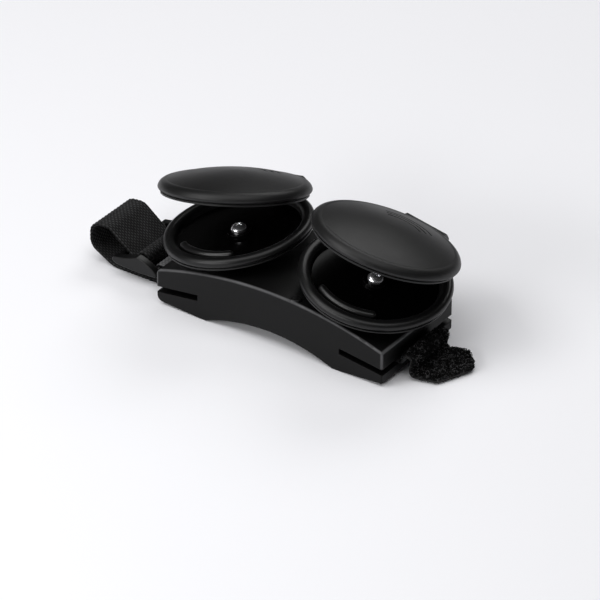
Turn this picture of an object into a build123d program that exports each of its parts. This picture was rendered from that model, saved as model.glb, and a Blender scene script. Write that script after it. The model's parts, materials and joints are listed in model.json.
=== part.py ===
from build123d import *
from math import asin, cos, radians, sin, sqrt
import os

# A strap-on pair of clappers: two hinged, sprung lids that snap against two dishes,
# screwed to an arched base that an elastic strap holds to a shoe or a hand.
# Millimetres. +X runs along the base to the grip tail, +Y to the hinges, +Z up.
# The origin is midway between the two foot strips, in the plane that they stand on.

# ---- base moulding
base_length = 96.6
base_width = 44.3
deck_end_height = 14.0
deck_rise = 7.9             # how far the deck's arc stands above its ends
arch_rise = 5.4             # the saddle arch between the feet
foot_inner = 27.0           # each flat foot strip runs from here ...
foot_outer = 30.0           # ... to here
tip_lift = 1.2              # the lower lip's tip stands this far off the ground
end_radius = {-1: 2.6, 1: 0.8}   # the end by the slide is well rounded, the other is crisp
skirt_wall = 3.0
deck_wall = 3.2
slot_depth = 18.0           # the strap slot's length from the end of the base
slot_root_height = 8.4      # middle of the slot at its closed end ...
slot_mouth_height = 6.0     # ... and at the end of the base
slot_clearance = 0.15
edge_round = 0.6
nub_x = 10.9                # locating nub at the deck's front edge
nub_setback = 2.1
nub_radius = 2.0
nub_height = 0.8

# ---- clapper pairs, in their own frames: z is the pair's axis, y points to the hinge
shell_radius = 27.5
shell_spacing = 0.6         # the seats stand this much further apart than two shells
clapper_y = 2.2
dish_pitch = -3.0           # each dish leans this many degrees towards the front
seat_pad_radius = 8.6
seat_pad_height = 2.5
rim_width = 4.6
dish_rim_top = 2.1
dish_floor_depth = 1.9      # below the plane of the bead
dish_wall = 2.1
boss_radius = 4.2           # raised seat for the screw's head
boss_height = 1.5
lid_crown_height = 6.2
lid_wall = 2.2
lid_lip_depth = 2.4
lid_lip_width = 4.3
closed_spacing = 5.0        # between the two bead planes when the pair is shut
open_angle = 20.4
root_margin = 6.6           # solid block left beside the screw, towards the middle

# ---- grip grooves across the back of each lid
groove_radii = (11.5, 14.0, 16.5)
groove_arc = 70.0
groove_size = 0.55          # radius of the groove's round section
groove_lift = 0.2           # its centre above the crown

# ---- strike bars
bar_setback = 6.35          # from the shell's edge to the bar's middle
bar_width = 3.1
bar_arc = 58.0
bar_turn = 2.0              # each bar is turned this far away from the middle
bar_top = 2.5
bar_gap = 0.3               # left between the bar and the lid's rib when shut
bar_pocket_depth = 0.8
bar_base_height = -1.0      # the dish floor under the bar, before its pocket
rib_root = 1.6              # the lid's rib reaches this far up into the shell

# ---- hinge
hinge_setback = 3.0         # the pin's line behind the shells' edge
hinge_pin_radius = 1.1
hinge_pin_clearance = 0.05
knuckle_wall = 1.1
knuckle_turning_gap = 0.4
dish_knuckle_inner = 2.8
dish_knuckle_outer = 4.8
lid_knuckle_inner = 5.1
lid_knuckle_outer = 8.5
lid_block_top = 1.2         # above the lid's bead plane
pin_end_gap = 0.3
spring_wire_radius = 0.25
spring_clearance = 0.3      # between the pin and the coil
spring_half_length = 2.1
spring_turns = 6
spring_leg = 1.7
spring_leg_radius = 0.22

# ---- fasteners
screw_head_radius = 2.9
screw_head_height = 2.3
screw_shank_radius = 1.5
screw_length = 10.0
screw_hole_clearance = 0.2
screw_tip_gap = 0.6
insert_wall = 0.8
insert_length = 5.5
insert_depth = 0.6          # top of the insert below the seat pad
recess_arm = 3.0
recess_width = 0.8
recess_depth = 1.4

# ---- webbing
elastic_thickness = 1.2
elastic_width = 22.0
elastic_y = -1.0
tab_thickness = 0.9
tab_width = 20.0
pile_thickness = 1.8
pile_width = 22.4
pile_y = -1.4
layer_gap = 0.05
window_clearance = 0.9
mouth_run = 1.3             # the webbings leave the slots straight for this far
patch_thickness = 0.8
patch_start = 8.2           # from the end of the base
patch_length = 40.0
patch_inset = 0.6
elastic_overlap = 10.0      # the elastic and the tail lie over each other between
tail_overlap = 8.0          # these two distances from the middle, and are sewn there
tail_step = 15.0
tack_places = (4.0, -3.0)
tack_width = 18.0
tack_length = 1.0
tack_height = 0.3

# ---- three-bar slide, placed from the end of the base
slide_leg_width = 3.1
slide_side_clearance = 0.9
slide_outer = 24.2          # its far end, beyond the end of the base
slide_peak = 13.5           # its centre bar
slide_inner_bar = 6.7
slide_inner = 4.9           # its near end
slide_foot_height = 4.7
slide_peak_height = 11.1
outer_bar_width = 2.0
outer_bar_height = 7.35
centre_bar_radius = 1.25
centre_bar_height = 8.9
inner_bar_radius = 1.1
inner_bar_height = 6.1
leg_edge_round = 0.5

half_length = base_length / 2
half_width = base_width / 2
deck_top = deck_end_height + deck_rise
deck_radius = (half_length ** 2 + deck_rise ** 2) / (2 * deck_rise)
slot_start = half_length - slot_depth
slot_height = max(elastic_thickness + tab_thickness + 3 * layer_gap, pile_thickness) + slot_clearance
slot_slope = (slot_root_height - slot_mouth_height) / slot_depth
webbing_half_width = max(elastic_width / 2 - elastic_y, pile_width / 2 - pile_y)
clapper_x = shell_radius + shell_spacing
root_inner = clapper_x - root_margin
hinge_y = shell_radius + hinge_setback
knuckle_radius = hinge_pin_radius + knuckle_wall
spring_mean_radius = hinge_pin_radius + spring_clearance + spring_wire_radius
bar_arc_radius = shell_radius - bar_setback
screw_hole_radius = screw_shank_radius + screw_hole_clearance
insert_radius = screw_shank_radius + insert_wall
sides = (("left", -1), ("right", 1))
parts = {}


def deck_height(x):
    """Height of the deck's arc at a distance x from the middle."""
    return deck_top - deck_radius + sqrt(deck_radius ** 2 - x ** 2)


def slot_height_at(x):
    """Height of the slot's middle plane at a distance x from the middle."""
    return slot_root_height + slot_slope * (slot_start - x)


def keep(piece, name):
    """Name a finished piece and hold it for writing."""
    piece.part.label = name
    parts[name] = piece.part


def tilted(side, pitch):
    """The two in-plane directions and the axis of a clapper half."""
    tilt = asin(clapper_x / deck_radius)
    along = Vector(cos(tilt), 0, -side * sin(tilt))
    upright = Vector(side * sin(tilt), 0, cos(tilt))
    axis = upright * cos(radians(pitch)) + Vector(0, 1, 0) * sin(radians(pitch))
    back = Vector(0, 1, 0) * cos(radians(pitch)) - upright * sin(radians(pitch))
    return along, back, axis


def dish_frame(side):
    """Plane of the dish's bead, centred on its axis."""
    along, _, axis = tilted(side, dish_pitch)
    seat = Vector(side * clapper_x, clapper_y, deck_height(clapper_x))
    rise = seat_pad_height + dish_floor_depth + dish_wall
    return Plane(origin=seat + axis * rise, x_dir=along, z_dir=axis)


def hinge_point(side):
    """Middle of the hinge pin."""
    return dish_frame(side).from_local_coords(Vector(0, hinge_y, closed_spacing / 2))


def lid_frame(side):
    """Plane of the lid's bead with the lid open at rest."""
    along, back, axis = tilted(side, dish_pitch + open_angle)
    origin = hinge_point(side) - back * hinge_y + axis * (closed_spacing / 2)
    return Plane(origin=origin, x_dir=along, z_dir=axis)


def crown_height_at(crown, radius):
    """Height of the lid's crown at a distance from its axis."""
    across = min((crown @ (i / 200) for i in range(201)), key=lambda p: abs(p.X - radius))
    return across.Y


def upright_section(frame):
    """The frame's x and z directions as a drawing plane, for a revolved section."""
    return Plane(origin=frame.origin, x_dir=frame.x_dir, z_dir=frame.y_dir * -1)


def cross_section(frame, x, y, z):
    """A drawing plane across the hinge: its x is the frame's y, its y the frame's z."""
    return Plane(origin=frame.from_local_coords(Vector(x, y, z)),
                 x_dir=frame.y_dir, z_dir=frame.x_dir)


def bar_outline(side):
    """Plan of a strike bar, and of the pocket and the lid's rib that match it."""
    with BuildSketch() as outline:
        with BuildLine():
            middle = CenterArc((0, 0), bar_arc_radius, -90 + side * bar_turn - bar_arc / 2, bar_arc)
        SlotArc(arc=middle, height=bar_width)
    return outline.sketch


def slot_outline(side, start, end):
    """Side view of a strap slot between two distances from the middle of the base."""
    with BuildSketch(Plane.XZ) as outline:
        with BuildLine():
            low = [(side * x, slot_height_at(x) - slot_height / 2) for x in (start, end)]
            high = [(side * x, slot_height_at(x) + slot_height / 2) for x in (end, start)]
            Polyline(*low, *high, close=True)
        make_face()
    return outline.sketch


# ------------------------------------------------------------------ base
with BuildPart() as base:
    with BuildSketch(Plane.XZ) as outline:
        with BuildLine():
            ThreePointArc((-half_length, deck_end_height), (0, deck_top), (half_length, deck_end_height))
            Polyline((half_length, deck_end_height), (half_length, tip_lift), (foot_outer, 0), (foot_inner, 0))
            ThreePointArc((foot_inner, 0), (0, arch_rise), (-foot_inner, 0))
            Polyline((-foot_inner, 0), (-foot_outer, 0), (-half_length, tip_lift), (-half_length, deck_end_height))
        make_face()
        for end in (-1, 1):
            end_corners = outline.vertices().filter_by(lambda v: abs(v.X - end * half_length) < 0.01)
            fillet(end_corners, end_radius[end])
    extrude(amount=half_width, both=True)
    fillet(base.faces().filter_by(Axis.Y).edges(), edge_round)
    for _, side in sides:
        extrude(slot_outline(side, slot_start, half_length + 1), amount=half_width + 1, both=True,
                mode=Mode.SUBTRACT)
        extrude(slot_outline(side, root_inner - 1, slot_start + 1),
                amount=webbing_half_width + window_clearance, both=True, mode=Mode.SUBTRACT)
        frame = dish_frame(side)
        pad_plane = Plane(origin=frame.from_local_coords(Vector(0, 0, -(dish_floor_depth + dish_wall))),
                          x_dir=frame.x_dir, z_dir=frame.z_dir)
        with BuildSketch(pad_plane):
            Circle(seat_pad_radius)
        extrude(amount=-(seat_pad_height + deck_wall))
        with BuildSketch(pad_plane):
            Circle(screw_hole_radius)
        extrude(amount=-(screw_length - dish_wall - boss_height + screw_tip_gap), mode=Mode.SUBTRACT)
        with BuildSketch(pad_plane.offset(-insert_depth)):
            Circle(insert_radius)
        extrude(amount=-insert_length, mode=Mode.SUBTRACT)
    with BuildSketch(Plane.XZ):
        with BuildLine():
            under = [deck_height(root_inner) - deck_wall, deck_top - deck_wall]
            ThreePointArc((-root_inner, under[0]), (0, under[1]), (root_inner, under[0]))
            Polyline((root_inner, under[0]), (root_inner, -1), (-root_inner, -1), (-root_inner, under[0]))
        make_face()
    extrude(amount=half_width - skirt_wall, both=True, mode=Mode.SUBTRACT)
    with BuildSketch(Plane.XY.offset(deck_height(nub_x) - deck_wall / 2)):
        with Locations((nub_x, nub_setback - half_width)):
            Circle(nub_radius)
    extrude(amount=deck_wall / 2 + nub_height)
    nub_top = base.faces().filter_by(Axis.Z).sort_by(Axis.Z)[-1]
    fillet(nub_top.edges(), nub_height / 2)
keep(base, "base")

# ------------------------------------------------------------------ clapper pairs
for name, side in sides:
    frame = dish_frame(side)
    lid_place = lid_frame(side)
    dish_bottom = -(dish_floor_depth + dish_wall)
    screw_seat = boss_height - dish_floor_depth

    # The dish: a rounded rim, a recessed wall and a thin lower lip over a shallow bowl.
    with BuildPart() as dish:
        with BuildSketch(upright_section(frame)):
            with BuildLine():
                edge = shell_radius
                rim_inner = edge - rim_width
                Line((screw_hole_radius, dish_bottom), (seat_pad_radius, dish_bottom))
                ThreePointArc((seat_pad_radius, dish_bottom), (edge - 9.0, dish_bottom + 0.6), (edge - 1.2, -2.1))
                Polyline((edge - 1.2, -2.1), (edge - 0.6, -1.9), (edge - 0.6, -1.4),
                         (edge - 1.1, -1.2), (edge - 1.1, -0.9))
                ThreePointArc((edge - 1.1, -0.9), (edge - 0.3, -0.5), (edge, 0.3))
                ThreePointArc((edge, 0.3), (edge - 0.6, 1.6), (edge - 2.2, dish_rim_top))
                ThreePointArc((edge - 2.2, dish_rim_top), (edge - 3.7, 1.7), (rim_inner, 0.5))
                Line((rim_inner, 0.5), (rim_inner - 0.4, bar_base_height))
                ThreePointArc((rim_inner - 0.4, bar_base_height), (rim_inner / 2, 0.25 - dish_floor_depth),
                              (boss_radius + 0.5, -dish_floor_depth))
                Polyline((boss_radius + 0.5, -dish_floor_depth), (boss_radius, screw_seat),
                         (screw_hole_radius, screw_seat), (screw_hole_radius, dish_bottom))
            make_face()
        revolve(axis=Axis(frame.origin, frame.z_dir))
        # Hinge bracket with two middle knuckles.
        with BuildSketch(cross_section(frame, -dish_knuckle_outer, shell_radius, 0)):
            with BuildLine():
                Polyline((-2.5, -1.9), (1.9, -1.9), (1.9, 0.5), (-2.5, 0.5), close=True)
            make_face()
        extrude(amount=2 * dish_knuckle_outer)
        for start in (-dish_knuckle_outer, dish_knuckle_inner):
            with BuildSketch(cross_section(frame, start, hinge_y, closed_spacing / 2)):
                Circle(knuckle_radius)
                with BuildLine():
                    Polyline((-2.1, 0.3), (-3.3, -2.1), (-3.3, -4.3), (0.4, -4.3), (2.15, 0), close=True)
                make_face()
            extrude(amount=dish_knuckle_outer - dish_knuckle_inner)
        with BuildSketch(cross_section(frame, -dish_knuckle_outer - 1, hinge_y, closed_spacing / 2)):
            Circle(hinge_pin_radius)
        extrude(amount=2 * dish_knuckle_outer + 2, mode=Mode.SUBTRACT)
        # Pocket for the strike bar.
        with BuildSketch(frame.offset(bar_base_height - bar_pocket_depth)):
            add(bar_outline(side))
        extrude(amount=bar_top, mode=Mode.SUBTRACT)
    keep(dish, f"{name}_dish")

    with BuildPart() as strike_bar:
        with BuildSketch(frame.offset(bar_base_height - bar_pocket_depth)):
            add(bar_outline(side))
        extrude(amount=bar_top - bar_base_height + bar_pocket_depth)
        top = strike_bar.faces().sort_by(Axis(frame.origin, frame.z_dir))[-1]
        fillet(top.edges(), bar_width / 2 - 0.2)
    keep(strike_bar, f"{name}_strike_bar")

    # The lid: a crowned shell with a rounded shoulder, a step and a thin lower lip.
    with BuildPart() as lid:
        with BuildSketch(upright_section(lid_place)):
            with BuildLine():
                edge = shell_radius
                lip_inner = edge - lid_lip_width
                shoulder = (edge - 3.2, 2.5)
                crown = ThreePointArc((0, lid_crown_height), (edge / 2, 0.785 * lid_crown_height), shoulder)
                ThreePointArc(shoulder, (edge - 0.8, 1.5), (edge, -0.1))
                ThreePointArc((edge, -0.1), (edge - 0.3, -0.9), (edge - 1.2, -1.3))
                Polyline((edge - 1.2, -1.3), (edge - 1.4, -1.6), (edge - 1.0, -1.8),
                         (edge - 1.0, -lid_lip_depth), (lip_inner, -lid_lip_depth))
                Line((lip_inner, -lid_lip_depth), (lip_inner - 0.7, 0.2))
                ThreePointArc((lip_inner - 0.7, 0.2), (edge / 2, 0.785 * lid_crown_height - lid_wall),
                              (0, lid_crown_height - lid_wall))
                Line((0, lid_crown_height - lid_wall), (0, lid_crown_height))
            make_face()
        revolve(axis=Axis(lid_place.origin, lid_place.z_dir))
        rib_bottom = -(closed_spacing - bar_top - bar_gap)
        with BuildSketch(lid_place.offset(rib_bottom)):
            add(bar_outline(side))
        extrude(amount=rib_root - rib_bottom)
        # Grip grooves, each a short ring cut round the lid's axis with rounded ends.
        for groove_radius in groove_radii:
            height = crown_height_at(crown, groove_radius) + groove_lift
            turns = [radians(90 + way * groove_arc / 2) for way in (-1, 1)]
            ends = [Vector(groove_radius * cos(a), groove_radius * sin(a), height) for a in turns]
            section = Plane(origin=lid_place.from_local_coords(ends[0]),
                            x_dir=lid_place.x_dir * cos(turns[0]) + lid_place.y_dir * sin(turns[0]),
                            z_dir=lid_place.x_dir * sin(turns[0]) - lid_place.y_dir * cos(turns[0]))
            with BuildSketch(section):
                Circle(groove_size)
            revolve(axis=Axis(lid_place.origin, lid_place.z_dir), revolution_arc=groove_arc, mode=Mode.SUBTRACT)
            with Locations(*[lid_place.from_local_coords(end) for end in ends]):
                Sphere(groove_size, mode=Mode.SUBTRACT)
        # Hinge block behind the rim, with its two outer knuckles.
        with BuildSketch(cross_section(lid_place, -lid_knuckle_outer, shell_radius, 0)):
            with BuildLine():
                Polyline((-2.0, -0.6), (2.6, -0.6), (2.6, lid_block_top - 1.0), (1.6, lid_block_top),
                         (-2.0, lid_block_top), close=True)
            make_face()
        extrude(amount=2 * lid_knuckle_outer)
        with BuildSketch(cross_section(lid_place, -lid_knuckle_inner, hinge_y, -closed_spacing / 2)):
            Circle(knuckle_radius + knuckle_turning_gap)
        extrude(amount=2 * lid_knuckle_inner, mode=Mode.SUBTRACT)
        for start in (-lid_knuckle_outer, lid_knuckle_inner):
            with BuildSketch(cross_section(lid_place, start, hinge_y, -closed_spacing / 2)):
                Circle(knuckle_radius)
                with BuildLine():
                    Polyline((-1.9, 0.6), (-2.6, 3.0), (-0.8, 3.3), (1.6, 1.5), close=True)
                make_face()
            extrude(amount=lid_knuckle_outer - lid_knuckle_inner)
        with BuildSketch(cross_section(lid_place, -lid_knuckle_outer - 1, hinge_y, -closed_spacing / 2)):
            Circle(hinge_pin_radius + hinge_pin_clearance)
        extrude(amount=2 * lid_knuckle_outer + 2, mode=Mode.SUBTRACT)
    keep(lid, f"{name}_lid")

    with BuildPart() as pin:
        with BuildSketch(cross_section(frame, pin_end_gap - lid_knuckle_outer, hinge_y, closed_spacing / 2)):
            Circle(hinge_pin_radius)
        extrude(amount=2 * (lid_knuckle_outer - pin_end_gap))
        chamfer(pin.edges().filter_by(GeomType.CIRCLE), 0.2)
    keep(pin, f"{name}_hinge_pin")

    # Torsion spring on the pin, its two legs standing on the bracket and under the lid.
    coil_start = frame.from_local_coords(Vector(-spring_half_length, hinge_y, closed_spacing / 2))
    coil_plane = Plane(origin=coil_start, x_dir=frame.y_dir * -1, z_dir=frame.x_dir)
    coil = coil_plane.location * Helix(pitch=2 * spring_half_length / spring_turns,
                                       height=2 * spring_half_length,
                                       radius=spring_mean_radius, mode=Mode.PRIVATE)
    with BuildPart() as spring:
        with BuildSketch(Plane(origin=coil @ 0, z_dir=coil % 0)):
            Circle(spring_wire_radius)
        sweep(path=coil, is_frenet=True)
        for end, way in ((0, -1), (1, 1)):
            with BuildSketch(Plane(origin=coil @ end, x_dir=frame.x_dir, z_dir=frame.z_dir * way).offset(-0.1)):
                Circle(spring_leg_radius)
            extrude(amount=spring_leg)
    keep(spring, f"{name}_return_spring")

    # Pan-head cross-recessed screw and the insert that it threads into.
    with BuildPart() as screw:
        with BuildSketch(upright_section(frame)):
            with BuildLine():
                head_top = screw_seat + screw_head_height
                tip = screw_seat - screw_length
                Polyline((0, tip), (screw_shank_radius - 0.4, tip), (screw_shank_radius, tip + 0.5),
                         (screw_shank_radius, screw_seat), (screw_head_radius, screw_seat),
                         (screw_head_radius, screw_seat + 0.8))
                ThreePointArc((screw_head_radius, screw_seat + 0.8), (2.2, screw_seat + 1.65), (0, head_top))
                Line((0, head_top), (0, tip))
            make_face()
        revolve(axis=Axis(frame.origin, frame.z_dir))
        with BuildSketch(frame.offset(head_top + 0.1)):
            Rectangle(recess_arm, recess_width)
            Rectangle(recess_width, recess_arm)
        extrude(amount=-recess_depth, taper=12, mode=Mode.SUBTRACT)
    keep(screw, f"{name}_dish_screw")

    with BuildPart() as insert:
        with BuildSketch(frame.offset(dish_bottom - insert_depth)):
            Circle(insert_radius)
            Circle(screw_shank_radius, mode=Mode.SUBTRACT)
        extrude(amount=-insert_length)
    keep(insert, f"{name}_screw_insert")

# ------------------------------------------------------------------ three-bar slide
slide_half_width = elastic_width / 2 - elastic_y + slide_side_clearance + slide_leg_width
outer_x = -(half_length + slide_outer)
peak_x = -(half_length + slide_peak)
inner_bar_x = -(half_length + slide_inner_bar)
inner_x = -(half_length + slide_inner)
with BuildPart() as slide:
    for start in (-slide_half_width, slide_half_width - slide_leg_width):
        with BuildSketch(Plane.XZ.offset(-start)) as leg:
            with BuildLine():
                tip_top = (outer_x, 7.9)
                tip_bottom = (outer_x + 1.4, 5.2)
                Polyline(tip_bottom, (outer_x - 0.7, 6.4), tip_top)
                ThreePointArc(tip_top, (outer_x + 5.4, 9.1), (peak_x, slide_peak_height))
                ThreePointArc((peak_x, slide_peak_height), (peak_x + 4.9, 9.3), (inner_x, 6.7))
                Line((inner_x, 6.7), (inner_x, 5.3))
                ThreePointArc((inner_x, 5.3), (peak_x, slide_foot_height), tip_bottom)
            make_face()
            fillet(leg.vertices(), 0.5)
        extrude(amount=-slide_leg_width)
    leg_sides = slide.faces().filter_by(Axis.Y)
    fillet(leg_sides.edges(), leg_edge_round)
    with BuildSketch(Plane.XZ) as bars:
        with Locations((outer_x + outer_bar_width / 2 + 0.3, outer_bar_height - 0.4)):
            RectangleRounded(outer_bar_width, 2.0, 0.6)
        with Locations((peak_x, centre_bar_height)):
            Circle(centre_bar_radius)
        with Locations((inner_bar_x, inner_bar_height)):
            Circle(inner_bar_radius)
    extrude(amount=slide_half_width - slide_leg_width / 2, both=True)
keep(slide, "strap_slide")

# ------------------------------------------------------------------ webbing
elastic_level = -slot_height / 2 + elastic_thickness / 2 + layer_gap
tab_level = elastic_level + (elastic_thickness + tab_thickness) / 2 + layer_gap
wrap_radius = centre_bar_radius + elastic_thickness / 2 + layer_gap
tab_wrap_radius = inner_bar_radius + tab_thickness / 2 + layer_gap
elastic_floor = elastic_thickness / 2
pile_floor = patch_thickness + pile_thickness / 2


def slot_point(x, level):
    """A point in the slot, level above its middle plane."""
    return (x, slot_height_at(abs(x)) + level)


# The elastic: from the middle of the base out of the left slot, along the ground,
# up and back over in an open loop, and once round the slide's centre bar.
inside = slot_point(-root_inner, elastic_level)
elastic_inner_height = inside[1]
wrap_low = centre_bar_height - wrap_radius
wrap_high = centre_bar_height + wrap_radius
with BuildPart() as elastic_strap:
    with BuildSketch(Plane.XZ.offset(-elastic_y)):
        with BuildLine():
            FilletPolyline((elastic_overlap, elastic_inner_height), inside,
                           slot_point(-half_length - mouth_run, elastic_level),
                           (inner_bar_x + 0.5, elastic_floor), (peak_x - 13.6, elastic_floor),
                           (peak_x - 23.8, 6.3), (peak_x - 23.4, 15.4), (peak_x - 15.6, 16.3),
                           (peak_x - 3.6, wrap_low), (peak_x + wrap_radius, wrap_low),
                           (peak_x + wrap_radius, wrap_high), (peak_x - wrap_radius, wrap_high),
                           (peak_x - wrap_radius, centre_bar_height - 0.4),
                           radius=(3, 2.5, 5, 9, 5, 4.2, 4, 1.6, wrap_radius - 0.05, wrap_radius - 0.05,
                                   wrap_radius - 0.05))
        trace(line_width=elastic_thickness)
    extrude(amount=elastic_width / 2, both=True)
keep(elastic_strap, "elastic_strap")

# The tether: a short webbing that holds the slide's inner bar to the base.
with BuildPart() as slide_tether:
    with BuildSketch(Plane.XZ.offset(-elastic_y)):
        with BuildLine():
            wrap_x = inner_bar_x - tab_wrap_radius
            FilletPolyline((-12, elastic_inner_height + tab_level - elastic_level),
                           slot_point(-root_inner, tab_level),
                           slot_point(-half_length - mouth_run, tab_level),
                           (inner_x + 1.4, inner_bar_height + tab_wrap_radius),
                           (wrap_x, inner_bar_height + tab_wrap_radius),
                           (wrap_x, inner_bar_height - tab_wrap_radius),
                           (inner_x + 0.6, inner_bar_height - tab_wrap_radius),
                           radius=(3, 1.5, 1.5, tab_wrap_radius - 0.05, tab_wrap_radius - 0.05))
        trace(line_width=tab_thickness)
    extrude(amount=tab_width / 2, both=True)
keep(slide_tether, "slide_tether")

# The grip tail: pile-faced tape out of the right slot, over a hump and down on the ground,
# turned towards the back and cut to a point.
near_edge = pile_y - pile_width / 2
far_edge = pile_y + pile_width / 2


def tail_outline(inset=0.0):
    """Plan of the tail's tape."""
    with BuildSketch() as plan:
        with BuildLine():
            Polyline((-tail_overlap - 5, near_edge), (half_length + 2.5, near_edge),
                     (half_length + 6.2, near_edge - 0.1), (half_length + 14.8, near_edge + 2.4),
                     (half_length + 20.2, near_edge + 15.2), (half_length + 20.2, far_edge - 5.0),
                     (half_length + 18.3, far_edge - 1.8), (half_length + 13.0, far_edge + 3.6),
                     (half_length + 5.8, far_edge + 1.1), (half_length + 2.5, far_edge),
                     (-tail_overlap - 5, far_edge), close=True)
        make_face()
        if inset:
            offset(amount=-inset)
    return plan.sketch


with BuildPart() as grip_tail:
    with BuildSketch(Plane.XZ):
        with BuildLine():
            pile_inside = elastic_inner_height + (elastic_thickness + pile_thickness) / 2 + layer_gap
            FilletPolyline((-tail_overlap, pile_inside), (tail_step, pile_inside), slot_point(root_inner, 0),
                           slot_point(half_length + mouth_run, 0), (half_length + 2.7, 9.8),
                           (half_length + 6.3, 8.4), (half_length + 4.6, pile_floor),
                           (half_length + 24, pile_floor), radius=(3, 3, 1.3, 1.5, 1.6, 2.2))
        trace(line_width=pile_thickness)
    extrude(amount=half_width, both=True)
    with BuildSketch(Plane.XY.offset(-1)):
        add(tail_outline())
    extrude(amount=deck_top, mode=Mode.INTERSECT)
keep(grip_tail, "grip_tail")

# The hook patch sewn under the tail's end.
with BuildPart() as hook_patch:
    with BuildSketch():
        add(tail_outline(patch_inset))
        with Locations((half_length + patch_start + patch_length / 2, 0)):
            Rectangle(patch_length, base_width, mode=Mode.INTERSECT)
    extrude(amount=patch_thickness)
keep(hook_patch, "hook_patch")

# Bar-tack stitching where the webbings are sewn to each other inside the base.
with BuildPart() as bar_tacks:
    with BuildSketch(Plane.XY.offset(elastic_inner_height - elastic_thickness / 2 - tack_height)):
        with Locations(*[(x, elastic_y) for x in tack_places]):
            Rectangle(tack_length, tack_width)
    extrude(amount=tack_height)
keep(bar_tacks, "bar_tacks")

os.makedirs("parts", exist_ok=True)
for part_name, solid in parts.items():
    export_step(solid, f"parts/{part_name}.step")
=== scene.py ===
import bpy
import json
import math
import random
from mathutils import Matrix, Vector


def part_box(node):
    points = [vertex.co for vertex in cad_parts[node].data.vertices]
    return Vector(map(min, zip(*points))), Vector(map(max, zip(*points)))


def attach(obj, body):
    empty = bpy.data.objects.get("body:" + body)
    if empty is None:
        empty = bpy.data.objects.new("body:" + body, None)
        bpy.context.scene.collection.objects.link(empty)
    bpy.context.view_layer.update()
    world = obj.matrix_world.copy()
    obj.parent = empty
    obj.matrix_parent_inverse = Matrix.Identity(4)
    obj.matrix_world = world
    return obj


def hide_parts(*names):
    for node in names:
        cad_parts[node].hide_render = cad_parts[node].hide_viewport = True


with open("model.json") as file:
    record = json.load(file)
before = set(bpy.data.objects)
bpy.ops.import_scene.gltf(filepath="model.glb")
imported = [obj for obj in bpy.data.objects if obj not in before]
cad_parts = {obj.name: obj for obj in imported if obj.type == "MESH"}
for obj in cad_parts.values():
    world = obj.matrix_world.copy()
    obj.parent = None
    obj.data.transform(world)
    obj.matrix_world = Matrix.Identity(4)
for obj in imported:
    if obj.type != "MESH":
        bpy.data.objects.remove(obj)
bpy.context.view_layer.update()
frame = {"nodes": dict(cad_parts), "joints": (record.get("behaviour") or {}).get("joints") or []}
parts = frame["nodes"]
MM = 0.001

# ---------------------------------------------------------------- base
# The arched base is one moulding in black glass-filled nylon. Its tool was spark-eroded, so
# the faces carry a fine even grain, and the corners are painted lighter, as wear and a painted highlight.


def node(tree, kind, inputs=None, **settings):
    """Adds a shader node with its settings, and with a value or a link for each input."""
    made = tree.nodes.new("ShaderNode" + kind)
    for key, value in settings.items():
        setattr(made, key, value)
    for key, value in (inputs or {}).items():
        if isinstance(value, bpy.types.NodeSocket):
            tree.links.new(value, made.inputs[key])
        else:
            made.inputs[key].default_value = value
    return made


def material_named(name):
    """A new material, with its node tree and the shader that gives its surface."""
    material = bpy.data.materials.new(name)
    material.use_nodes = True
    tree = material.node_tree
    return material, tree, tree.nodes["Principled BSDF"]


def blended(tree, amount, low, high):
    """A number that runs from low to high as amount runs from 0 to 1."""
    return node(tree, "MapRange", {"Value": amount, "To Min": low, "To Max": high}).outputs["Result"]


def shaded(tree, amount, *stops):
    """A colour looked up from an amount between 0 and 1, from (place, grey) stops."""
    ramp = node(tree, "ValToRGB", {"Fac": amount})
    points = ramp.color_ramp.elements
    while len(points) < len(stops):
        points.new(0.5)
    for point, (place, grey) in zip(points, stops):
        point.position = place
        point.color = (grey, grey, grey * 1.03, 1)
    return ramp.outputs["Color"]


CLOUDS_PER_METRE = 70.0
ROUGHNESS_SPREAD = 0.07


def moulded_plastic(name, grey, roughness, specular, grain, grain_depth, corner):
    """Black moulded plastic with a grained skin, cloudy shine and rounded corners painted lighter, as wear and
    a painted highlight.
    """
    material, tree, surface = material_named(name)
    place = node(tree, "TexCoord").outputs["Object"]
    pits = node(tree, "TexNoise", {"Vector": place, "Scale": 1 / grain, "Detail": 2.0}).outputs["Fac"]
    clouds = node(tree, "TexNoise", {"Vector": place, "Scale": CLOUDS_PER_METRE, "Detail": 5.0}).outputs["Fac"]
    rounded = node(tree, "Bevel", {"Radius": corner}, samples=6).outputs["Normal"]
    true_face = node(tree, "NewGeometry").outputs["Normal"]
    turned = node(tree, "VectorMath", {0: rounded, 1: true_face}, operation="DOT_PRODUCT").outputs["Value"]
    # Painted highlight and wear: the colour is lighter where the bevelled normal turns away from the face.
    edge_highlight_and_wear = node(tree, "MapRange", {"Value": turned, "From Min": 0.995, "From Max": 0.85}).outputs["Result"]
    tree.links.new(shaded(tree, edge_highlight_and_wear, (0.0, grey), (1.0, grey * 2.2)), surface.inputs["Base Color"])
    uneven = blended(tree, clouds, roughness - ROUGHNESS_SPREAD, roughness + ROUGHNESS_SPREAD)
    tree.links.new(uneven, surface.inputs["Roughness"])
    skin = node(tree, "Bump", {"Height": pits, "Strength": 0.6, "Distance": grain_depth, "Normal": rounded})
    tree.links.new(skin.outputs["Normal"], surface.inputs["Normal"])
    surface.inputs["Specular IOR Level"].default_value = specular
    return material


def finish(name, material):
    """Gives a part that keeps its moulded or turned shape its finish."""
    mesh = parts[name].data
    mesh.materials.clear()
    mesh.materials.append(material)


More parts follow.
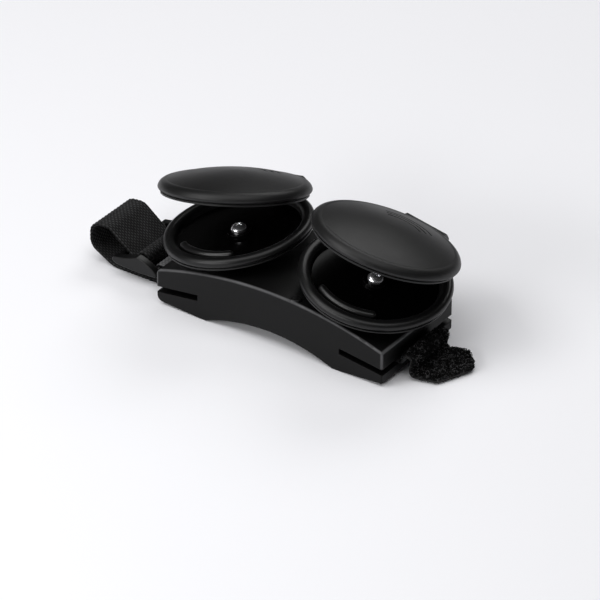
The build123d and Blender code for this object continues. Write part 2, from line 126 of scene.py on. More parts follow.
BASE_HALF_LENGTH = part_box("base")[1].x
BASE_HALF_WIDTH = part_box("base")[1].y
DECK_TOP = 21.9 * MM
DECK_RADIUS = 151.6 * MM
EDGE_HIGHLIGHT_AND_WEAR_FADE = 0.95 * MM
EDGE_HIGHLIGHT_AND_WEAR_FULL = 0.35 * MM
EDGE_HIGHLIGHT_AND_WEAR_FLOOR = 7.0 * MM
HIGHLIGHT_AND_WEAR_PATCHES_PER_METRE = 260.0


def paint_edge_highlight_and_wear(material, grey, highlight_and_wear_grey):
    """Lightens the base, above its slots, where two of its skirt, deck and end faces meet: wear and a painted
    edge highlight.
    """
    tree = material.node_tree
    place = node(tree, "TexCoord").outputs["Object"]
    along = node(tree, "SeparateXYZ", {0: place})
    hub = Vector((0, 0, DECK_TOP - DECK_RADIUS))
    from_hub = node(tree, "VectorMath", {0: place, 1: hub}, operation="SUBTRACT")
    in_plane = node(tree, "VectorMath", {0: from_hub.outputs["Vector"], 1: (1, 0, 1)}, operation="MULTIPLY")
    arc = node(tree, "VectorMath", {0: in_plane.outputs["Vector"]}, operation="LENGTH").outputs["Value"]
    below = node(tree, "Math", {0: DECK_RADIUS, 1: arc}, operation="SUBTRACT").outputs["Value"]
    depths = [node(tree, "Math", {0: below}, operation="ABSOLUTE").outputs["Value"]]
    for axis, half in (("X", BASE_HALF_LENGTH), ("Y", BASE_HALF_WIDTH)):
        size = node(tree, "Math", {0: along.outputs[axis]}, operation="ABSOLUTE").outputs["Value"]
        depths.append(node(tree, "Math", {0: half, 1: size}, operation="SUBTRACT").outputs["Value"])
    edge_highlight_and_wear = None
    for a, b in ((0, 1), (1, 2), (2, 0)):
        total = node(tree, "Math", {0: depths[a], 1: depths[b]}, operation="ADD").outputs["Value"]
        near = node(tree, "MapRange", {"Value": total, "From Min": EDGE_HIGHLIGHT_AND_WEAR_FADE,
                                       "From Max": EDGE_HIGHLIGHT_AND_WEAR_FULL}).outputs["Result"]
        edge_highlight_and_wear = near if edge_highlight_and_wear is None else node(tree, "Math", {0: edge_highlight_and_wear, 1: near},
                                                  operation="MAXIMUM").outputs["Value"]
    highlight_and_wear_noise = node(tree, "TexNoise", {"Vector": place, "Scale": HIGHLIGHT_AND_WEAR_PATCHES_PER_METRE, "Detail": 4.0}).outputs["Fac"]
    patchy = blended(tree, highlight_and_wear_noise, 0.5, 1.4)
    highlight_and_wear_mask = node(tree, "Math", {0: edge_highlight_and_wear, 1: patchy}, operation="MULTIPLY").outputs["Value"]
    above_slot = node(tree, "MapRange", {"Value": along.outputs["Z"], "From Min": EDGE_HIGHLIGHT_AND_WEAR_FLOOR,
                                         "From Max": EDGE_HIGHLIGHT_AND_WEAR_FLOOR + MM}).outputs["Result"]
    highlight_and_wear_mask = node(tree, "Math", {0: highlight_and_wear_mask, 1: above_slot}, operation="MULTIPLY").outputs["Value"]
    # Painted highlight and wear: the base's colour is lighter along these edges, in patches.
    colour = shaded(tree, highlight_and_wear_mask, (0.0, grey), (1.0, highlight_and_wear_grey))
    tree.links.new(colour, tree.nodes["Principled BSDF"].inputs["Base Color"])


base_skin = moulded_plastic("base_nylon_black", grey=0.002, roughness=0.43, specular=0.18,
                            grain=0.35 * MM, grain_depth=0.02 * MM, corner=0.35 * MM)
paint_edge_highlight_and_wear(base_skin, 0.002, 0.09)
finish("base", base_skin)

# ---------------------------------------------------------------- dishes
# Each lower shell is a shallow dish in black ABS with a satin rounded rim. The bowl was
# polished in the tool, so it is shinier than the rim, and its colour is painted darker as shade.
HINGE_BEHIND_AXIS = 30.5 * MM
HALF_SPACING = 2.5 * MM
DISH_LEAN = math.radians(-3.0)
BOWL_RADIUS = 22.6 * MM
BOWL_FLOOR = 2.6 * MM
FACING_UP = 0.3


def shell_place(joint, lean, above_hinge):
    """Centre and axis of a round shell that hangs on this hinge, leaning by that angle."""
    along = Vector(joint["axis"]).normalized()
    along = along if along.x > 0 else -along
    upright = Vector((-along.z, 0, along.x))
    axis = upright * math.cos(lean) + Vector((0, 1, 0)) * math.sin(lean)
    back = Vector((0, 1, 0)) * math.cos(lean) - upright * math.sin(lean)
    return Vector(joint["pos_m"]) - back * HINGE_BEHIND_AXIS + axis * above_hinge, axis


joint_of = {joint["child"]: joint for joint in frame["joints"]}
rim_skin = moulded_plastic("dish_rim_abs_black", grey=0.004, roughness=0.36, specular=0.34,
                           grain=0.3 * MM, grain_depth=0.015 * MM, corner=0.25 * MM)
# The bowl's darker colour is painted shade, where the lid shades the bowl.
bowl_painted_shade_skin = moulded_plastic("dish_bowl_abs_painted_shade", grey=0.001, roughness=0.20, specular=0.09,
                            grain=0.6 * MM, grain_depth=0.006 * MM, corner=0.15 * MM)
for side in ("left", "right"):
    centre, axis = shell_place(joint_of[f"{side}_lid"], DISH_LEAN, -HALF_SPACING)
    finish(f"{side}_dish", rim_skin)
    dish_mesh = parts[f"{side}_dish"].data
    dish_mesh.materials.append(bowl_painted_shade_skin)
    for face in dish_mesh.polygons:
        arm = face.center - centre
        height = arm.dot(axis)
        faces_up = face.normal.dot(axis) > FACING_UP and height > -BOWL_FLOOR
        if faces_up and (arm - axis * height).length < BOWL_RADIUS:
            face.material_index = 1

# ---------------------------------------------------------------- strike bars
# The lid's rib lands on this hard curved bar, pressed into a pocket in the bowl. It is a
# polished acetal moulding, rounded along its top so that the click is sharp.
bar_gloss = moulded_plastic("strike_bar_acetal_black", grey=0.005, roughness=0.30, specular=0.42,
                            grain=0.8 * MM, grain_depth=0.012 * MM, corner=0.2 * MM)
for side in ("left", "right"):
    finish(f"{side}_strike_bar", bar_gloss)

# ---------------------------------------------------------------- lids
# The upper shells are crowned discs in the same black ABS with a softer, finer grain where
# the fingers rest. Their grip grooves and knuckles are moulded in.
lid_skin = moulded_plastic("lid_abs_black", grey=0.004, roughness=0.44, specular=0.35,
                           grain=0.28 * MM, grain_depth=0.014 * MM, corner=0.12 * MM)
for side in ("left", "right"):
    finish(f"{side}_lid", lid_skin)

# ---------------------------------------------------------------- screws
# Each dish is held by one pan-head screw. The head is bright chromium plate over turned
# steel, with fine rings from the lathe.


def away_from_axis(tree, centre, axis):
    """Distance of each point of a surface from a shell's axis."""
    place = node(tree, "TexCoord").outputs["Object"]
    arm = node(tree, "VectorMath", {0: place, 1: centre}, operation="SUBTRACT").outputs["Vector"]
    across = node(tree, "VectorMath", {0: arm, 1: axis}, operation="CROSS_PRODUCT").outputs["Vector"]
    return node(tree, "VectorMath", {0: across}, operation="LENGTH").outputs["Value"]


def plated_steel(name, grey, roughness, ring, ring_depth, centre, axis):
    """Turned and plated steel, with fine rings round its axis and a slightly milky shine."""
    material, tree, surface = material_named(name)
    place = node(tree, "TexCoord").outputs["Object"]
    radius = away_from_axis(tree, centre, axis)
    rings = node(tree, "Math", {0: radius, 1: 2 * math.pi / ring}, operation="MULTIPLY").outputs["Value"]
    ridge = node(tree, "Math", {0: rings}, operation="SINE").outputs["Value"]
    clouds = node(tree, "TexNoise", {"Vector": place, "Scale": 900.0, "Detail": 4.0}).outputs["Fac"]
    tree.links.new(shaded(tree, clouds, (0.3, grey * 0.85), (0.7, grey)), surface.inputs["Base Color"])
    tree.links.new(blended(tree, clouds, roughness - 0.05, roughness + 0.08), surface.inputs["Roughness"])
    rounded = node(tree, "Bevel", {"Radius": 0.12 * MM}, samples=6).outputs["Normal"]
    skin = node(tree, "Bump", {"Height": ridge, "Strength": 0.3, "Distance": ring_depth, "Normal": rounded})
    tree.links.new(skin.outputs["Normal"], surface.inputs["Normal"])
    surface.inputs["Metallic"].default_value = 0.92
    return material


for side in ("left", "right"):
    centre, axis = shell_place(joint_of[f"{side}_lid"], DISH_LEAN, -HALF_SPACING)
    plated = plated_steel(f"{side}_screw_chrome", grey=0.95, roughness=0.2, ring=0.25 * MM,
                          ring_depth=0.004 * MM, centre=centre, axis=axis)
    finish(f"{side}_dish_screw", plated)

# ---------------------------------------------------------------- screw inserts
# The screws bite into brass inserts that were heated and pressed into the base. Their dull
# yellow shows only from inside the holes.
brass, brass_tree, brass_surface = material_named("insert_brass_dull")
brass_place = node(brass_tree, "TexCoord").outputs["Object"]
brass_clouds = node(brass_tree, "TexNoise", {"Vector": brass_place, "Scale": 1200.0}).outputs["Fac"]
brass_ramp = node(brass_tree, "ValToRGB", {"Fac": brass_clouds})
brass_ramp.color_ramp.elements[0].color = (0.42, 0.27, 0.09, 1)
brass_ramp.color_ramp.elements[1].color = (0.72, 0.52, 0.24, 1)
brass_tree.links.new(brass_ramp.outputs["Color"], brass_surface.inputs["Base Color"])
brass_tree.links.new(blended(brass_tree, brass_clouds, 0.25, 0.45), brass_surface.inputs["Roughness"])
brass_surface.inputs["Metallic"].default_value = 1.0
for side in ("left", "right"):
    finish(f"{side}_screw_insert", brass)

# ---------------------------------------------------------------- hinge pins and springs
# A drawn steel pin joins each lid to its dish, and a coil of oil-blackened spring wire on
# the pin throws the lid open again.


def drawn_metal(name, dark, light, roughness, scratch):
    """Drawn wire or rod: metal with fine streaks along it and uneven oil stains."""
    material, tree, surface = material_named(name)
    place = node(tree, "TexCoord").outputs["Object"]
    long_marks = node(tree, "Mapping", {"Vector": place, "Scale": (0.08, 1.0, 1.0)}).outputs["Vector"]
    streaks = node(tree, "TexNoise", {"Vector": long_marks, "Scale": 1 / scratch,
                                      "Detail": 4.0}).outputs["Fac"]
    stains = node(tree, "TexNoise", {"Vector": place, "Scale": 500.0, "Detail": 3.0}).outputs["Fac"]
    tree.links.new(shaded(tree, stains, (0.35, dark), (0.65, light)), surface.inputs["Base Color"])
    tree.links.new(blended(tree, streaks, roughness - 0.08, roughness + 0.1), surface.inputs["Roughness"])
    skin = node(tree, "Bump", {"Height": streaks, "Strength": 0.3, "Distance": 0.01 * MM})
    tree.links.new(skin.outputs["Normal"], surface.inputs["Normal"])
    surface.inputs["Metallic"].default_value = 1.0
    return material


pin_steel = drawn_metal("pin_steel_drawn", dark=0.38, light=0.52, roughness=0.28, scratch=0.2 * MM)
spring_steel = drawn_metal("spring_steel_blackened", dark=0.10, light=0.20, roughness=0.34,
                           scratch=0.15 * MM)
for side in ("left", "right"):
    finish(f"{side}_hinge_pin", pin_steel)
    finish(f"{side}_return_spring", spring_steel)

# ---------------------------------------------------------------- strap slide
# The three-bar slide is an acetal moulding, smoother than the base, with an arched leg on
# each side of its bars.
slide_skin = moulded_plastic("slide_acetal_black", grey=0.004, roughness=0.33, specular=0.28,
                             grain=0.6 * MM, grain_depth=0.01 * MM, corner=0.3 * MM)
finish("strap_slide", slide_skin)

# ---------------------------------------------------------------- elastic strap
# The wide strap is a woven elastic: rubber-cored ribs run along it, and fine picks cross
# them in a twill. It comes out of the left slot, turns up and back over in an open loop,
# and is wound on the slide's centre bar.
SLOT_ROOT = 30.3 * MM
SLOT_ROOT_HEIGHT = 8.4 * MM
SLOT_FALL = 2.4 / 18.0
ROOT_INNER = 21.5 * MM
ELASTIC_THICK = 1.2 * MM
ELASTIC_WIDE = 22.0 * MM
ELASTIC_Y = -1.0 * MM
ELASTIC_LEVEL = -0.55 * MM
SLOT_RUN_OUT = 1.3 * MM
PEAK_X = -61.8 * MM
PEAK_Z = 8.9 * MM
INNER_BAR_X = -55.0 * MM
WRAP = 1.9 * MM
ELASTIC_STEP = 0.27 * MM
ELASTIC_COLUMNS = 96
DEEPEST = 0.3 * MM
SELVEDGE = (0.35, 0.8, 1.0)
RIB_COLUMNS = 4
PICK_ROWS = 3
HIDDEN_STRIDE = 6


def slot_point(x, level):
    """A point in a strap slot, that far above its middle plane."""
    return Vector((x, 0, SLOT_ROOT_HEIGHT + SLOT_FALL * (SLOT_ROOT - abs(x)) + level))


def strap_route(corners, radii, step):
    """Points at even steps along a folded strap's middle line, with each fold rounded."""
    line = [corners[0]]
    for before, corner, after, radius in zip(corners, corners[1:], corners[2:], radii):
        way_in, way_out = (before - corner).normalized(), (after - corner).normalized()
        half_turn = way_in.angle(way_out) / 2
        middle_way = (way_in + way_out).normalized()
        hub = corner + middle_way * (radius / math.sin(half_turn))
        start = corner + way_in * (radius / math.tan(half_turn)) - hub
        end = corner + way_out * (radius / math.tan(half_turn)) - hub
        swing = start.angle(end)
        pieces = max(2, int(swing / math.radians(6)))
        for i in range(pieces + 1):
            share = i / pieces
            spoke = (start * math.sin((1 - share) * swing) + end * math.sin(share * swing)) / math.sin(swing)
            line.append(hub + spoke)
    line.append(corners[-1])
    lengths = [0.0]
    for a, b in zip(line, line[1:]):
        lengths.append(lengths[-1] + (b - a).length)
    count = max(2, round(lengths[-1] / step))
    route, at = [], 0
    for i in range(count + 1):
        target = lengths[-1] * i / count
        while at < len(lengths) - 2 and lengths[at + 1] < target:
            at += 1
        share = (target - lengths[at]) / (lengths[at + 1] - lengths[at])
        route.append(line[at].lerp(line[at + 1], share))
    return route


def upright_ways(route):
    """The direction square to a strap's face at each point of its route."""
    ways = []
    for i in range(len(route)):
        run = route[min(i + 1, len(route) - 1)] - route[max(i - 1, 0)]
        ways.append(Vector((-run.z, 0, run.x)).normalized())
    return ways


def mesh_piece(name, vertices, faces, sunk, material, slot, replaced=()):
    """A finished piece of the object: shaded smooth and on the base. Its slot argument is not used.

    sunk says for each vertex how deep it lies in the weave, from 0 on top to 1, or a pile loop's tone; the
    cloth materials darken it, as painted shade in the weave.
    """
    mesh = bpy.data.meshes.new(name)
    mesh.from_pydata(vertices, [], faces)
    mesh.attributes.new("sunk", "FLOAT", "POINT").data.foreach_set("value", sunk)
    mesh.polygons.foreach_set("use_smooth", [True] * len(mesh.polygons))
    mesh.materials.append(material)
    made = bpy.data.objects.new(name, mesh)
    bpy.context.scene.collection.objects.link(made)
    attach(made, "base")
    if replaced:
        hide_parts(*replaced)
    return made


def strap_skin(route, edges, thickness, columns, relief, hidden=lambda point: False):
    """The closed skin of a strap: one ring of points round it at each point of its route.

    edges(point) gives the two side edges there, and relief(row, column, face) how far the
    weave sinks below the full thickness. Where hidden(point), rows are few and plain.
    """
    ways = upright_ways(route)
    vertices, faces, sunk = [], [], []
    ring = 2 * (columns + 1)
    rings = 0
    for row, (point, way) in enumerate(zip(route, ways)):
        if hidden(point) and row % HIDDEN_STRIDE:
            continue
        rings += 1
        low, high = edges(point)
        for face in (1, -1):
            order = range(columns + 1) if face == 1 else range(columns, -1, -1)
            for column in order:
                share = column / columns
                from_edge = min(column, columns - column)
                selvedge = SELVEDGE[min(from_edge, len(SELVEDGE) - 1)]
                depth = relief(row, column, face)
                out = thickness / 2 * selvedge - depth
                sunk.append(depth / DEEPEST)
                y = low + (high - low) * share
                vertices.append((point.x + way.x * out * face, y, point.z + way.z * out * face))
    for row in range(rings - 1):
        for i in range(ring):
            a, b = row * ring + i, row * ring + (i + 1) % ring
            faces.append((a, a + ring, b + ring, b))
    last = (rings - 1) * ring
    faces.append(tuple(range(ring)))
    faces.append(tuple(last + i for i in reversed(range(ring))))
    return vertices, faces, sunk


def twill(depth, picks_per_turn=3):
    """Relief of a twill weave, four columns to a rib and three rows to a pick."""
    def relief(row, column, face):
        rib, across = divmod(column, RIB_COLUMNS)
        between_ribs = 1 - math.sin(math.pi * across / RIB_COLUMNS) ** 0.7
        pick = row / PICK_ROWS
        under = 0.5 - 0.5 * math.cos(2 * math.pi * (pick + rib * face) / picks_per_turn)
        return depth * min(1.0, between_ribs + 0.6 * under)
    return relief


def woven(name, grey, sheen, yarn, shine=0.28):
    """Black polyester yarn: matt, faintly hairy, each yarn slightly its own tone, with painted shade where it
    sinks.
    """
    material, tree, surface = material_named(name)
    place = node(tree, "TexCoord").outputs["Object"]
    stretched = node(tree, "Mapping", {"Vector": place, "Scale": (1.0, 4.0, 1.0)}).outputs["Vector"]
    fibres = node(tree, "TexNoise", {"Vector": stretched, "Scale": 1 / yarn, "Detail": 3.0}).outputs["Fac"]
    fading = node(tree, "TexNoise", {"Vector": place, "Scale": 180.0, "Detail": 4.0}).outputs["Fac"]
    both = node(tree, "Math", {0: fibres, 1: 0.6, 2: fading}, operation="MULTIPLY_ADD").outputs["Value"]
    # Painted shade: where the yarn sinks into the weave the colour runs down to black; on the pile the same
    # values are each loop's own tone.
    sunk = node(tree, "Attribute", attribute_name="sunk").outputs["Fac"]
    in_light = blended(tree, sunk, 1.0, 0.1)
    lit = node(tree, "Math", {0: both, 1: in_light}, operation="MULTIPLY").outputs["Value"]
    tree.links.new(shaded(tree, lit, (0.1, 0.0), (1.0, grey * 1.8)), surface.inputs["Base Color"])
    tree.links.new(blended(tree, sunk, 0.48, 0.95), surface.inputs["Roughness"])
    skin = node(tree, "Bump", {"Height": fibres, "Strength": 0.7, "Distance": 0.05 * MM})
    tree.links.new(skin.outputs["Normal"], surface.inputs["Normal"])
    surface.inputs["Sheen Weight"].default_value = sheen
    surface.inputs["Sheen Roughness"].default_value = 0.4
    surface.inputs["Specular IOR Level"].default_value = shine
    return material


elastic_cloth = woven("elastic_polyester_black", grey=0.028, sheen=0.03, yarn=0.18 * MM, shine=0.14)
inside_height = slot_point(-ROOT_INNER, ELASTIC_LEVEL).z
elastic_corners = [
    Vector((10 * MM, 0, inside_height)),
    slot_point(-ROOT_INNER, ELASTIC_LEVEL),
    slot_point(-BASE_HALF_LENGTH - SLOT_RUN_OUT, ELASTIC_LEVEL),
    Vector((INNER_BAR_X + 0.5 * MM, 0, ELASTIC_THICK / 2)),
    Vector((PEAK_X - 13.6 * MM, 0, ELASTIC_THICK / 2)),
    Vector((PEAK_X - 23.8 * MM, 0, 6.3 * MM)),
    Vector((PEAK_X - 23.4 * MM, 0, 15.4 * MM)),
    Vector((PEAK_X - 15.6 * MM, 0, 16.3 * MM)),
    Vector((PEAK_X - 3.6 * MM, 0, PEAK_Z - WRAP)),
    Vector((PEAK_X + WRAP, 0, PEAK_Z - WRAP)),
    Vector((PEAK_X + WRAP, 0, PEAK_Z + WRAP)),
    Vector((PEAK_X - WRAP, 0, PEAK_Z + WRAP)),
    Vector((PEAK_X - WRAP, 0, PEAK_Z - 0.4 * MM)),
]
elastic_folds = [r * MM for r in (3, 2.5, 5, 9, 5, 4.2, 4, 1.6, 1.85, 1.85, 1.85)]
elastic_route = strap_route(elastic_corners, elastic_folds, ELASTIC_STEP)
elastic_edges = (ELASTIC_Y - ELASTIC_WIDE / 2, ELASTIC_Y + ELASTIC_WIDE / 2)
elastic_mesh = strap_skin(elastic_route, lambda point: elastic_edges, ELASTIC_THICK, ELASTIC_COLUMNS,
                          twill(DEEPEST, picks_per_turn=2),
                          hidden=lambda point: -BASE_HALF_LENGTH + MM < point.x < -ROOT_INNER - MM)
mesh_piece("elastic_webbing", *elastic_mesh, elastic_cloth, "elastic", ["elastic_strap"])

# ---------------------------------------------------------------- slide tether
# A short tape of the same weave, but without rubber, lies on the elastic in the slot and is
# wrapped round the slide's inner bar to hold the slide to the base.
TAB_THICK = 0.9 * MM
TAB_WIDE = 20.0 * MM
TAB_LEVEL = 0.55 * MM
INNER_BAR_Z = 6.1 * MM
TAB_WRAP = 1.6 * MM
INNER_X = -53.2 * MM
TAB_STEP = 0.25 * MM
TAB_COLUMNS = 88
TAB_RELIEF = 0.22 * MM
tether_cloth = woven("tether_polyester_black", grey=0.10, sheen=0.12, yarn=0.16 * MM, shine=0.2)
tether_corners = [
    Vector((-12 * MM, 0, inside_height + TAB_LEVEL - ELASTIC_LEVEL)),
    slot_point(-ROOT_INNER, TAB_LEVEL),
    slot_point(-BASE_HALF_LENGTH - SLOT_RUN_OUT, TAB_LEVEL),
    Vector((INNER_X + 1.4 * MM, 0, INNER_BAR_Z + TAB_WRAP)),
    Vector((INNER_BAR_X - TAB_WRAP, 0, INNER_BAR_Z + TAB_WRAP)),
    Vector((INNER_BAR_X - TAB_WRAP, 0, INNER_BAR_Z - TAB_WRAP)),
    Vector((INNER_X + 0.6 * MM, 0, INNER_BAR_Z - TAB_WRAP)),
]
tether_folds = [r * MM for r in (3, 1.5, 1.5, 1.55, 1.55)]
tether_route = strap_route(tether_corners, tether_folds, TAB_STEP)
tether_edges = (ELASTIC_Y - TAB_WIDE / 2, ELASTIC_Y + TAB_WIDE / 2)
tether_mesh = strap_skin(tether_route, lambda point: tether_edges, TAB_THICK, TAB_COLUMNS,
                         twill(TAB_RELIEF, picks_per_turn=2))
mesh_piece("tether_webbing", *tether_mesh, tether_cloth, "elastic", ["slide_tether"])

# ---------------------------------------------------------------- grip tail
# The tail is loop tape: a woven backing whose face is a deep, tangled pile of nylon loops
# for the hooks to catch. It leaves the right slot over a hump, lies on the ground, and is
# cut to a blunt point.
PILE_Y = -1.4 * MM
PILE_WIDE = 22.4 * MM
PATCH_THICK = 0.8 * MM
TAPE_THICK = 1.0 * MM
PILE_SPACE = 1.8 * MM
TAPE_STEP = 0.3 * MM
TAPE_COLUMNS = 64
TAPE_RELIEF = 0.12 * MM
TAIL_REACH = 20.2 * MM
PILE_LOOPS = 3000
PILE_YARN = 0.1 * MM
PILE_CLEAR = 0.6 * MM
PILE_INSET = 0.1 * MM
PILE_SHORT = 2.2 * MM
near_edge = PILE_Y - PILE_WIDE / 2
far_edge = PILE_Y + PILE_WIDE / 2
# Both cut edges, as (distance past the end of the base, step sideways), in millimetres.
tail_near = [(2.5, 0), (6.2, -0.1), (14.8, 2.4), (20.2, 15.2)]
tail_far = [(2.5, 0), (5.8, 1.1), (13.0, 3.6), (18.3, -1.8), (20.2, -5.0)]


def edge_at(outline, from_y, x):
    """Side edge of the tail at a place x along the base."""
    past_end = (x - BASE_HALF_LENGTH) / MM
    for (x0, y0), (x1, y1) in zip(outline, outline[1:]):
        if past_end <= x1:
            share = max(0.0, (past_end - x0) / (x1 - x0))
            return from_y + (y0 + (y1 - y0) * share) * MM
    return from_y + outline[-1][1] * MM


def tail_edges(point):
    """Both side edges of the tail where its middle line passes this point."""
    return edge_at(tail_near, near_edge, point.x), edge_at(tail_far, far_edge, point.x)


pile_inside = inside_height + (ELASTIC_THICK + PILE_SPACE) / 2 + 0.05 * MM
pile_floor = PATCH_THICK + PILE_SPACE / 2
tail_corners = [
    Vector((-8 * MM, 0, pile_inside)),
    Vector((15 * MM, 0, pile_inside)),
    slot_point(ROOT_INNER, 0),
    slot_point(BASE_HALF_LENGTH + SLOT_RUN_OUT, 0),
    Vector((BASE_HALF_LENGTH + 2.7 * MM, 0, 9.8 * MM)),
    Vector((BASE_HALF_LENGTH + 6.3 * MM, 0, 8.4 * MM)),
    Vector((BASE_HALF_LENGTH + 4.6 * MM, 0, pile_floor)),
    Vector((BASE_HALF_LENGTH + TAIL_REACH, 0, pile_floor)),
]
tail_folds = [r * MM for r in (3, 3, 1.3, 1.5, 1.6, 2.2)]
tail_middle = strap_route(tail_corners, tail_folds, TAPE_STEP)
tail_route = [point - way * (PILE_SPACE - TAPE_THICK) / 2
              for point, way in zip(tail_middle, upright_ways(tail_middle))]
tape_cloth = woven("loop_tape_backing_black", grey=0.010, sheen=0.10, yarn=0.2 * MM)
tape_mesh = strap_skin(tail_route, tail_edges, TAPE_THICK, TAPE_COLUMNS, twill(TAPE_RELIEF))
mesh_piece("loop_tape_backing", *tape_mesh, tape_cloth, "pile_tape", ["grip_tail"])


def threads(paths, radius, sides, tones=None):
    """Round threads along many paths, as one mesh. tones darkens each by 0 to 1."""
    vertices, faces, sunk = [], [], []
    for path, tone in zip(paths, tones or [0.0] * len(paths)):
        first = len(vertices)
        sunk += [tone] * (len(path) * sides)
        reference = Vector((0.31, 0.52, 0.79))
        for i, point in enumerate(path):
            run = (path[min(i + 1, len(path) - 1)] - path[max(i - 1, 0)]).normalized()
            across = (reference - run * reference.dot(run)).normalized()
            up = run.cross(across)
            reference = across
            for k in range(sides):
                turn = 2 * math.pi * k / sides
                vertices.append(point + (across * math.cos(turn) + up * math.sin(turn)) * radius)
        for i in range(len(path) - 1):
            for k in range(sides):
                a, b = first + i * sides + k, first + i * sides + (k + 1) % sides
                faces.append((a, b, b + sides, a + sides))
        last = first + (len(path) - 1) * sides
        faces.append(tuple(first + k for k in reversed(range(sides))))
        faces.append(tuple(last + k for k in range(sides)))
    return vertices, faces, sunk


def pile_loop(root, out, rise, spread, chance):
    """One loop of pile yarn: it climbs from the tape, curls over and comes back to it."""
    side_way = Vector((chance.uniform(-1, 1), chance.uniform(-1, 1), chance.uniform(-1, 1)))
    side_way = (side_way - out * side_way.dot(out)).normalized()
    lean = out.cross(side_way) * chance.uniform(-0.6, 0.6)
    path = []
    for i in range(8):
        angle = math.pi * (i / 7) * 1.12
        climb = math.sin(min(angle, math.pi)) ** 0.8
        slip = side_way * (-math.cos(angle) * spread)
        path.append(root + slip + (out + lean) * (climb * rise) - out * 0.1 * MM)
    return path


chance = random.Random(11)
tail_ways = upright_ways(tail_route)
outside = [i for i, point in enumerate(tail_route) if point.x > BASE_HALF_LENGTH + PILE_CLEAR]
pile = []
for _ in range(PILE_LOOPS):
    i = chance.choice(outside)
    low, high = tail_edges(tail_route[i])
    y = chance.uniform(low + PILE_INSET, high - PILE_INSET)
    root = tail_route[i] + tail_ways[i] * (TAPE_THICK / 2) + Vector((0, y, 0))
    rise, spread = chance.uniform(0.5, 1.2) * MM, chance.uniform(0.3, 0.75) * MM
    rise *= min(1.0, 0.3 + min(y - low, high - y) / PILE_SHORT)
    pile.append(pile_loop(root, tail_ways[i], rise, spread, chance))
pile_tones = [chance.choice((0.0, 0.8, 1.0, 1.0, 1.0, 1.0)) for _ in pile]
pile_yarn = woven("pile_nylon_black", grey=0.05, sheen=0.02, yarn=0.1 * MM, shine=0.12)
mesh_piece("loop_pile", *threads(pile, PILE_YARN, 4, pile_tones), pile_yarn, "pile_tape")

# ---------------------------------------------------------------- hook patch
# Under the tail's end a piece of hook tape is sewn back to back with the loops. Its stiff
# nylon hooks stand in rows and all bend the same way.
HOOK_PITCH = 1.15 * MM
HOOK_RADIUS = 0.06 * MM
HOOK_BEND = 0.2 * MM
HOOK_ARC_STEPS = 5
PATCH_START = BASE_HALF_LENGTH + 8.2 * MM
PATCH_INSET = 0.6 * MM
PATCH_SHEET = 0.3 * MM
PATCH_COLUMNS = 40
hook_nylon = moulded_plastic("hook_nylon_black", grey=0.008, roughness=0.35, specular=0.5,
                             grain=0.2 * MM, grain_depth=0.01 * MM, corner=0.05 * MM)
patch_length = BASE_HALF_LENGTH + TAIL_REACH - PATCH_INSET - PATCH_START
PATCH_ROWS = 24
patch_route = [Vector((PATCH_START + patch_length * i / PATCH_ROWS, 0, PATCH_THICK - PATCH_SHEET / 2))
               for i in range(PATCH_ROWS + 1)]


def patch_edges(point):
    """Both side edges of the hook tape."""
    low, high = tail_edges(point)
    return low + PATCH_INSET, high - PATCH_INSET


patch_mesh = strap_skin(patch_route, patch_edges, PATCH_SHEET, PATCH_COLUMNS, lambda row, column, face: 0.0)
mesh_piece("hook_tape_backing", *patch_mesh, tape_cloth, "hook_tape", ["hook_patch"])


def hook(x, y):
    """One hook: a stem down from the tape whose end curls back up."""
    foot = Vector((x, y, PATCH_THICK - PATCH_SHEET))
    stem = PATCH_THICK - PATCH_SHEET - HOOK_BEND - HOOK_RADIUS
    path = [foot, foot - Vector((0, 0, stem))]
    for i in range(1, HOOK_ARC_STEPS + 1):
        angle = math.pi * i / HOOK_ARC_STEPS
        path.append(foot + Vector((HOOK_BEND * (1 - math.cos(angle)), 0, -stem - HOOK_BEND * math.sin(angle))))
    return path


hooks = []
for row in range(int(patch_length / HOOK_PITCH)):
    x = PATCH_START + (row + 0.5) * HOOK_PITCH
    low, high = patch_edges(Vector((x, 0, 0)))
    for place in range(int((high - low) / HOOK_PITCH)):
        hooks.append(hook(x, low + (place + 0.3 + 0.4 * (row % 2)) * HOOK_PITCH))
mesh_piece("hooks", *threads(hooks, HOOK_RADIUS, 6), hook_nylon, "hook_tape")

# ---------------------------------------------------------------- bar tacks
# Inside the base two close zigzags of bonded nylon thread sew the elastic, the tether and
# the tail together, so that the straps pull on each other and not on the moulding.
TACK_PLACES = (4.0 * MM, -3.0 * MM)
TACK_WIDE = 18.0 * MM
TACK_LONG = 1.0 * MM
TACK_STITCHES = 45
TACK_YARN = 0.16 * MM
TACK_HALF_TURN = 0.08 * MM
tack_height = inside_height - ELASTIC_THICK / 2 - 0.1 * MM
tacks = []
for tack_x in TACK_PLACES:
    zigzag = []
    for stitch in range(TACK_STITCHES + 1):
        y = ELASTIC_Y + TACK_WIDE * (stitch / TACK_STITCHES - 0.5)
        x = tack_x + TACK_LONG / 2 * (-1) ** stitch
        zigzag += [Vector((x, y - TACK_HALF_TURN, tack_height)), Vector((x, y + TACK_HALF_TURN, tack_height))]
    tacks.append(zigzag)
tack_thread = woven("tack_thread_black", grey=0.02, sheen=0.3, yarn=0.08 * MM)
mesh_piece("tack_stitching", *threads(tacks, TACK_YARN, 8), tack_thread, "thread", ["bar_tacks"])

# ---------------------------------------------------------------- camera
# The camera looks down on the front from the right, from far enough away that the object
# is seen almost without perspective.
LOOK_AT = Vector((-1.57, 0, 6.57)) * MM
VIEW_DISTANCE = 1.5
camera_data = bpy.data.cameras.new("camera")
camera = bpy.data.objects.new("camera", camera_data)
bpy.context.scene.collection.objects.link(camera)
bpy.context.scene.camera = camera


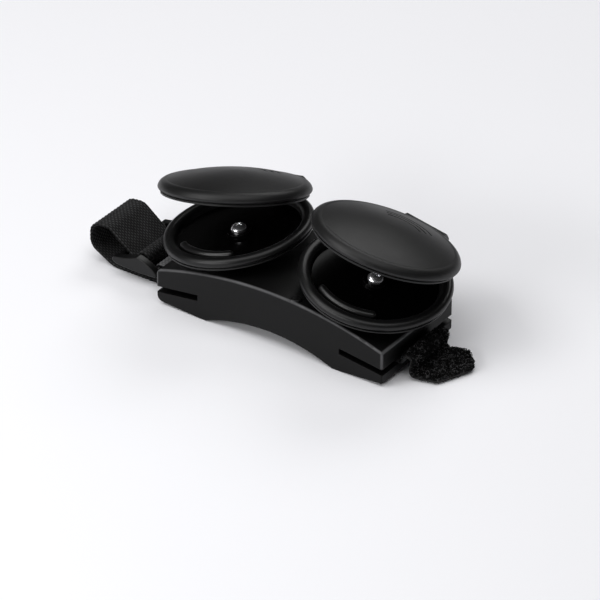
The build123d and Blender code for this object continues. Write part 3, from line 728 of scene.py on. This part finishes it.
def towards(azimuth, elevation):
    """The direction from the object to something that stands at these angles, in degrees."""
    turn, height = math.radians(azimuth), math.radians(elevation)
    level = math.cos(height)
    return Vector((math.sin(turn) * level, -math.cos(turn) * level, math.sin(height)))


towards_camera = towards(34.87, 32.16)
camera.location = LOOK_AT + towards_camera * VIEW_DISTANCE
camera.rotation_mode = "QUATERNION"
camera.rotation_quaternion = (-towards_camera).to_track_quat("-Z", "Y")
camera_data.sensor_width = 36
camera_data.lens = 254.2
camera_data.clip_start = 0.05
camera_data.clip_end = 20

# ---------------------------------------------------------------- floor and light
# A pale matt sweep stands for the studio table, under a faint white surround. A wide soft
# box hangs overhead, one stands behind for the lids' tops, and two fill from the front left.
FLOOR_SIZE = 6
SURROUND = 0.06
LIGHTS_AIM = Vector((0, 0, 20 * MM))
floor_paint, floor_tree, floor_surface = material_named("floor_pale_matt")
floor_place = node(floor_tree, "TexCoord").outputs["Object"]
floor_clouds = node(floor_tree, "TexNoise", {"Vector": floor_place, "Scale": 3.0}).outputs["Fac"]
floor_colour = shaded(floor_tree, floor_clouds, (0.0, 0.93), (1.0, 0.95))
floor_tree.links.new(floor_colour, floor_surface.inputs["Base Color"])
floor_surface.inputs["Roughness"].default_value = 0.9
floor_surface.inputs["Specular IOR Level"].default_value = 0.1
bpy.ops.mesh.primitive_plane_add(size=FLOOR_SIZE, location=(0, 0, 0))
floor = bpy.context.object
floor.name = "floor"
floor.data.materials.append(floor_paint)

world = bpy.data.worlds.new("studio")
bpy.context.scene.world = world
world.use_nodes = True
world.node_tree.nodes["Background"].inputs["Color"].default_value = (1, 1, 1, 1)
world.node_tree.nodes["Background"].inputs["Strength"].default_value = SURROUND


def soft_light(name, azimuth, elevation, distance, width, depth, power):
    """A rectangular soft box that faces the object from that direction."""
    away = towards(azimuth, elevation)
    light = bpy.data.lights.new(name, "AREA")
    light.shape = "RECTANGLE"
    light.size, light.size_y = width, depth
    light.energy = power
    lamp = bpy.data.objects.new(name, light)
    bpy.context.scene.collection.objects.link(lamp)
    lamp.location = LIGHTS_AIM + away * distance
    lamp.rotation_mode = "QUATERNION"
    lamp.rotation_quaternion = (-away).to_track_quat("-Z", "Y")


soft_light("overhead", azimuth=20, elevation=80, distance=1.1, width=1.4, depth=1.1, power=8.0)
soft_light("back", azimuth=-170, elevation=44, distance=1.0, width=0.6, depth=0.45, power=2.3)
soft_light("front_left", azimuth=-42, elevation=48, distance=1.0, width=0.5, depth=0.35, power=2.6)
soft_light("front_strip", azimuth=-19, elevation=23, distance=1.0, width=0.9, depth=0.12, power=4.2)
bpy.context.scene.view_settings.view_transform = "Standard"
